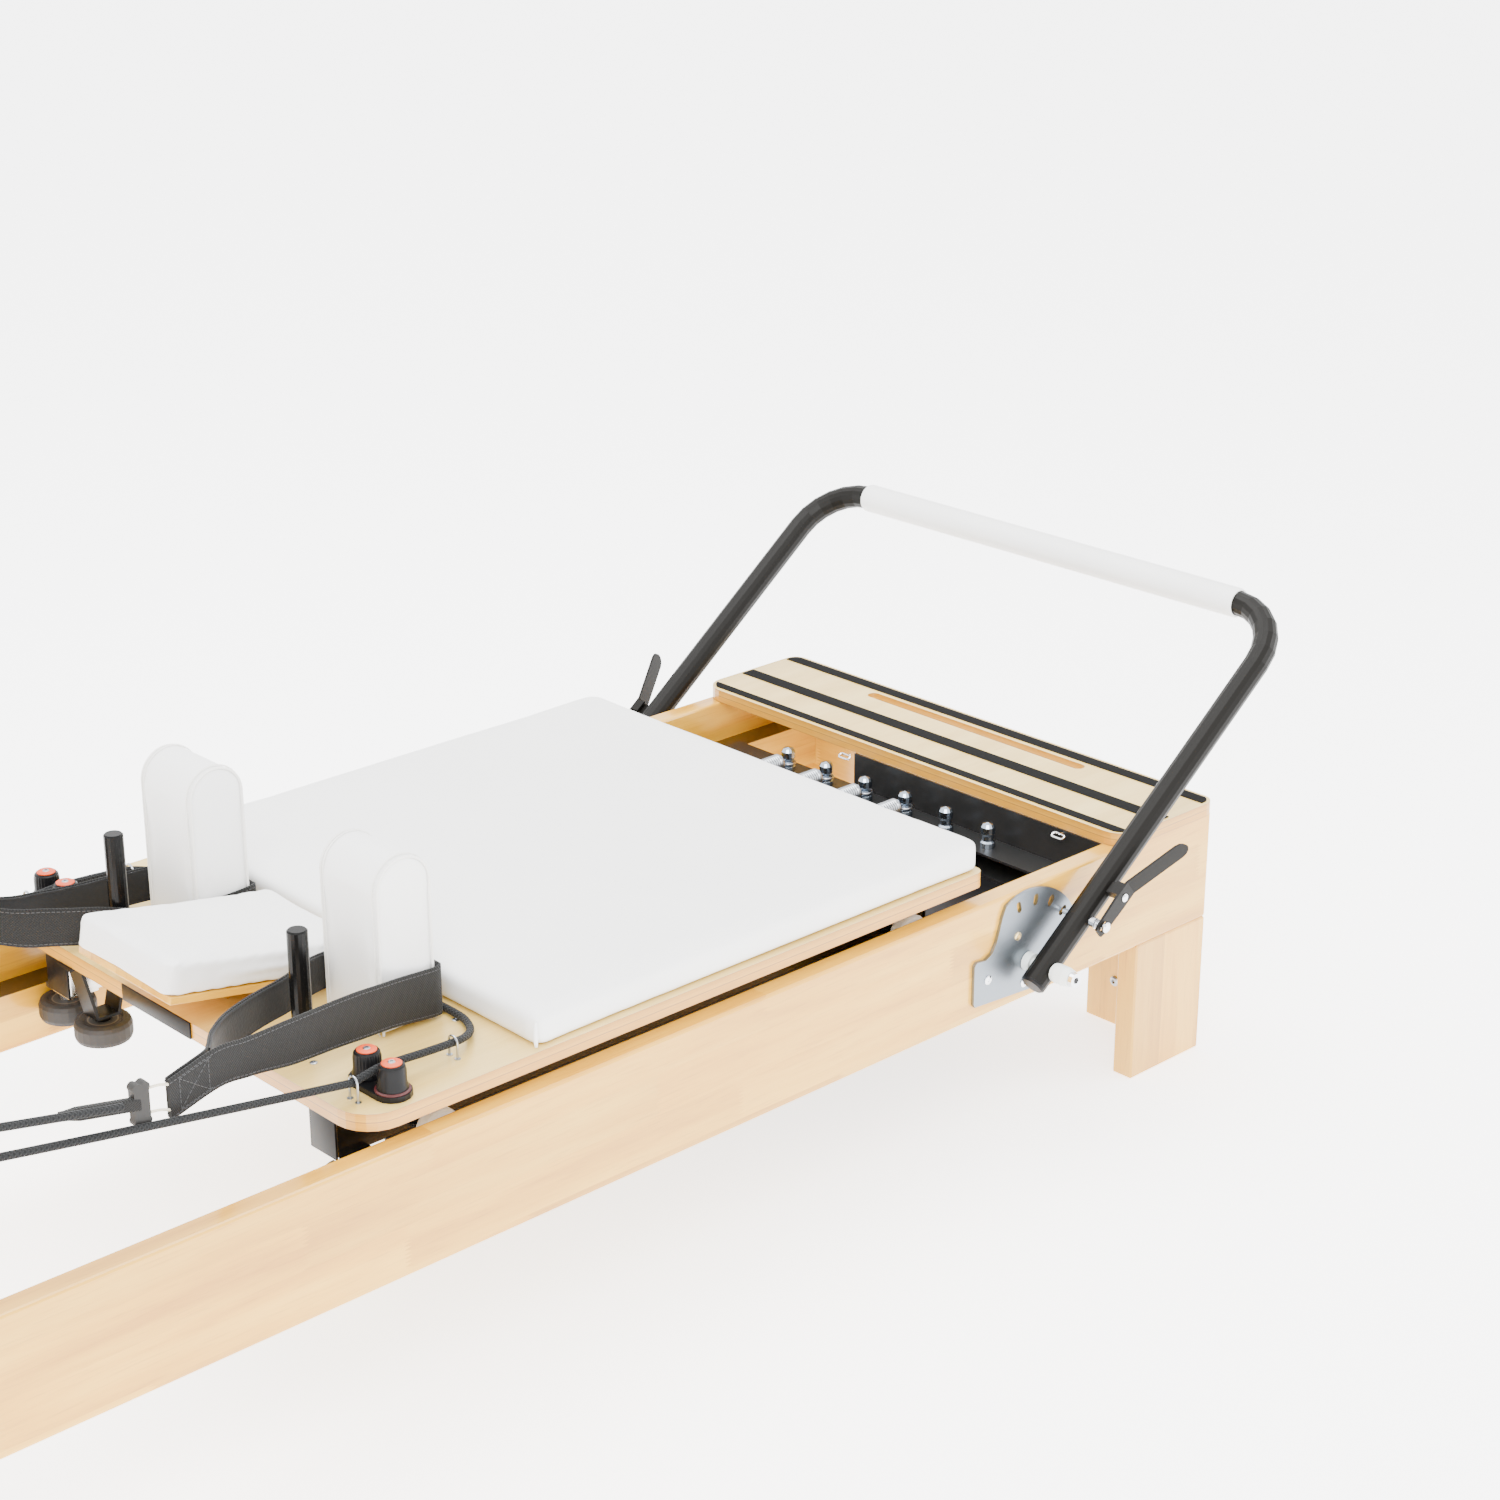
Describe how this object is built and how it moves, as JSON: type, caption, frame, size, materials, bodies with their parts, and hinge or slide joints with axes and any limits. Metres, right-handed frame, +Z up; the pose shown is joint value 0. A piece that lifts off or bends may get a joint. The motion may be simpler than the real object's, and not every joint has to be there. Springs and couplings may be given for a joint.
{
  "type": "pilates reformer",
  "caption": "Wooden pilates reformer: sprung rolling carriage with pads, headrest and shoulder rests, pivoting footbar, rope pulleys and straps.",
  "frame": {"origin": "on the floor, below the middle of the whole machine's box, footbar overhang included", "axes": "+X along the frame towards the foot end with the footbar and springs, -Y the near side and +Y the far side, +Z up"},
  "size_m": [2.5546, 0.896, 0.655],
  "materials": {
    "maple": "clear gloss lacquer on pale finger-jointed hardwood",
    "birch_ply": "satin lacquer on birch plywood",
    "white_vinyl": "matte white upholstery vinyl over foam",
    "black_steel": "satin black powder coat",
    "chrome": "polished",
    "plate_steel": "polished stainless",
    "aluminium": "smooth anodised",
    "white_nylon": "moulded nylon",
    "black_rubber": "matte",
    "black_plastic": "moulded, satin",
    "black_webbing": "woven polyester webbing",
    "black_cord": "braided polyester rope"
  },
  "bodies": {
    "frame": {"near_rail": "maple", "near_foot_leg": "maple", "near_head_leg": "maple", "near_gear_plate": "plate_steel", "near_pivot_bolt": "chrome", "near_pivot_bush": "white_nylon", "near_riser": "black_steel", "near_rope": "black_cord", "far_rail": "maple", "far_foot_leg": "maple", "far_head_leg": "maple", "far_gear_plate": "plate_steel", "far_pivot_bolt": "chrome", "far_pivot_bush": "white_nylon", "far_riser": "black_steel", "far_rope": "black_cord", "foot_board": "maple", "head_board": "maple", "foot_platform": "birch_ply", "spring_bar": "black_steel", "spring_1": "chrome", "spring_2": "chrome", "spring_3": "chrome", "spring_4": "chrome"},
    "footbar": {"footbar_tube": "black_steel", "footbar_sleeve": "white_vinyl"},
    "carriage": {"carriage_deck": "birch_ply", "carriage_pad": "white_vinyl", "spring_anchor": "black_steel", "inboard_wheel_bracket": "black_steel", "near_beam": "aluminium", "near_shoulder_rest": "white_vinyl", "near_strap_post": "black_steel", "near_cleat_base": "black_plastic", "near_strap": "black_webbing", "far_beam": "aluminium", "far_shoulder_rest": "white_vinyl", "far_strap_post": "black_steel", "far_cleat_base": "black_plastic", "far_strap": "black_webbing"},
    "headrest": {"headrest_board": "maple", "headrest_pad": "white_vinyl"},
    "headrest_prop": {"headrest_prop": "maple"},
    "inboard_wheel": {"inboard_wheel": "black_rubber"},
    "near_pulley": {"near_pulley": "black_plastic"},
    "near_lever": {"near_lever": "black_steel"},
    "near_lock_pin": {"near_lock_pin": "chrome"},
    "near_inner_cam": {"near_inner_cam": "black_plastic"},
    "near_outer_cam": {"near_outer_cam": "black_plastic"},
    "near_foot_running_wheel": {"near_foot_running_wheel": "white_nylon"},
    "near_head_running_wheel": {"near_head_running_wheel": "white_nylon"},
    "near_guide_wheel": {"near_guide_wheel": "black_rubber"},
    "far_pulley": {"far_pulley": "black_plastic"},
    "far_lever": {"far_lever": "black_steel"},
    "far_lock_pin": {"far_lock_pin": "chrome"},
    "far_inner_cam": {"far_inner_cam": "black_plastic"},
    "far_outer_cam": {"far_outer_cam": "black_plastic"},
    "far_foot_running_wheel": {"far_foot_running_wheel": "white_nylon"},
    "far_head_running_wheel": {"far_head_running_wheel": "white_nylon"},
    "far_guide_wheel": {"far_guide_wheel": "black_rubber"}
  },
  "joints": [
    {"name": "carriage_slide", "type": "slide", "parent": "frame", "child": "carriage", "axis": [-1, 0, 0], "range_m": [0, 0.85], "stiffness_N_per_m": 1100, "springref_m": -0.05, "deforming": ["spring_1", "spring_2", "spring_3", "spring_4", "near_rope", "far_rope", "near_strap", "far_strap"]},
    {"name": "footbar_hinge", "type": "hinge", "parent": "frame", "child": "footbar", "pos_m": [0.84469, 0, 0.224], "axis": [0, -1, 0], "range_deg": [-50, 66]},
    {"name": "near_lever_hinge", "type": "hinge", "parent": "footbar", "child": "near_lever", "pos_m": [0.9387, -0.4085, 0.29614], "axis": [-0.6088, 0, 0.7934], "range_deg": [0, 8], "stiffness_Nm_per_rad": 1.2, "springref_deg": -8.59},
    {"name": "near_lock_pin_slide", "type": "slide", "parent": "footbar", "child": "near_lock_pin", "axis": [0, -1, 0], "range_m": [0, 0.0066]},
    {"name": "far_lever_hinge", "type": "hinge", "parent": "footbar", "child": "far_lever", "pos_m": [0.9387, 0.4085, 0.29614], "axis": [0.6088, 0, -0.7934], "range_deg": [0, 8], "stiffness_Nm_per_rad": 1.2, "springref_deg": -8.59},
    {"name": "far_lock_pin_slide", "type": "slide", "parent": "footbar", "child": "far_lock_pin", "axis": [0, 1, 0], "range_m": [0, 0.0066]},
    {"name": "near_foot_running_wheel_axle", "type": "hinge", "parent": "carriage", "child": "near_foot_running_wheel", "pos_m": [0.70269, -0.3035, 0.2843], "axis": [0, 1, 0], "continuous": true},
    {"name": "near_head_running_wheel_axle", "type": "hinge", "parent": "carriage", "child": "near_head_running_wheel", "pos_m": [0.05269, -0.3035, 0.2843], "axis": [0, 1, 0], "continuous": true},
    {"name": "near_guide_wheel_axle", "type": "hinge", "parent": "carriage", "child": "near_guide_wheel", "pos_m": [-0.01732, -0.2585, 0.24], "axis": [0, 0, 1], "continuous": true},
    {"name": "far_foot_running_wheel_axle", "type": "hinge", "parent": "carriage", "child": "far_foot_running_wheel", "pos_m": [0.70269, 0.3035, 0.2843], "axis": [0, 1, 0], "continuous": true},
    {"name": "far_head_running_wheel_axle", "type": "hinge", "parent": "carriage", "child": "far_head_running_wheel", "pos_m": [0.05269, 0.3035, 0.2843], "axis": [0, 1, 0], "continuous": true},
    {"name": "far_guide_wheel_axle", "type": "hinge", "parent": "carriage", "child": "far_guide_wheel", "pos_m": [-0.01732, 0.2585, 0.24], "axis": [0, 0, 1], "continuous": true},
    {"name": "inboard_wheel_axle", "type": "hinge", "parent": "carriage", "child": "inboard_wheel", "pos_m": [-0.01732, 0.187, 0.24], "axis": [0, 0, 1], "continuous": true},
    {"name": "near_inner_cam_pivot", "type": "hinge", "parent": "carriage", "child": "near_inner_cam", "pos_m": [-0.00131, -0.269, 0.362], "axis": [0, 0, -1], "range_deg": [0, 30], "stiffness_Nm_per_rad": 0.15, "springref_deg": -11.46},
    {"name": "near_outer_cam_pivot", "type": "hinge", "parent": "carriage", "child": "near_outer_cam", "pos_m": [-0.00131, -0.308, 0.362], "axis": [0, 0, 1], "range_deg": [0, 30], "stiffness_Nm_per_rad": 0.15, "springref_deg": -11.46},
    {"name": "near_pulley_axle", "type": "hinge", "parent": "frame", "child": "near_pulley", "pos_m": [-1.20232, -0.3, 0.604], "axis": [0, 1, 0], "continuous": true},
    {"name": "far_inner_cam_pivot", "type": "hinge", "parent": "carriage", "child": "far_inner_cam", "pos_m": [-0.00131, 0.269, 0.362], "axis": [0, 0, 1], "range_deg": [0, 30], "stiffness_Nm_per_rad": 0.15, "springref_deg": -11.46},
    {"name": "far_outer_cam_pivot", "type": "hinge", "parent": "carriage", "child": "far_outer_cam", "pos_m": [-0.00131, 0.308, 0.362], "axis": [0, 0, -1], "range_deg": [0, 30], "stiffness_Nm_per_rad": 0.15, "springref_deg": -11.46},
    {"name": "far_pulley_axle", "type": "hinge", "parent": "frame", "child": "far_pulley", "pos_m": [-1.20232, 0.3, 0.604], "axis": [0, 1, 0], "continuous": true},
    {"name": "headrest_hinge", "type": "hinge", "parent": "carriage", "child": "headrest", "pos_m": [0.12069, 0, 0.3525], "axis": [0, 1, 0], "range_deg": [-9, 6.5]},
    {"name": "headrest_prop_hinge", "type": "hinge", "parent": "headrest", "child": "headrest_prop", "pos_m": [-0.04301, 0, 0.3747], "axis": [0, 1, 0], "range_deg": [-23, 16.6]}
  ],
  "couplings": [
    {"joint": "near_lock_pin_slide", "follows": "near_lever_hinge", "m_per_rad": 0.046},
    {"joint": "far_lock_pin_slide", "follows": "far_lever_hinge", "m_per_rad": 0.046},
    {"joint": "near_foot_running_wheel_axle", "follows": "carriage_slide", "rad_per_m": -41.667},
    {"joint": "near_head_running_wheel_axle", "follows": "carriage_slide", "rad_per_m": -41.667},
    {"joint": "near_guide_wheel_axle", "follows": "carriage_slide", "rad_per_m": 32.258},
    {"joint": "far_foot_running_wheel_axle", "follows": "carriage_slide", "rad_per_m": -41.667},
    {"joint": "far_head_running_wheel_axle", "follows": "carriage_slide", "rad_per_m": -41.667},
    {"joint": "far_guide_wheel_axle", "follows": "carriage_slide", "rad_per_m": -32.258},
    {"joint": "headrest_prop_hinge", "follows": "headrest_hinge", "ratio": 2.55}
  ]
}
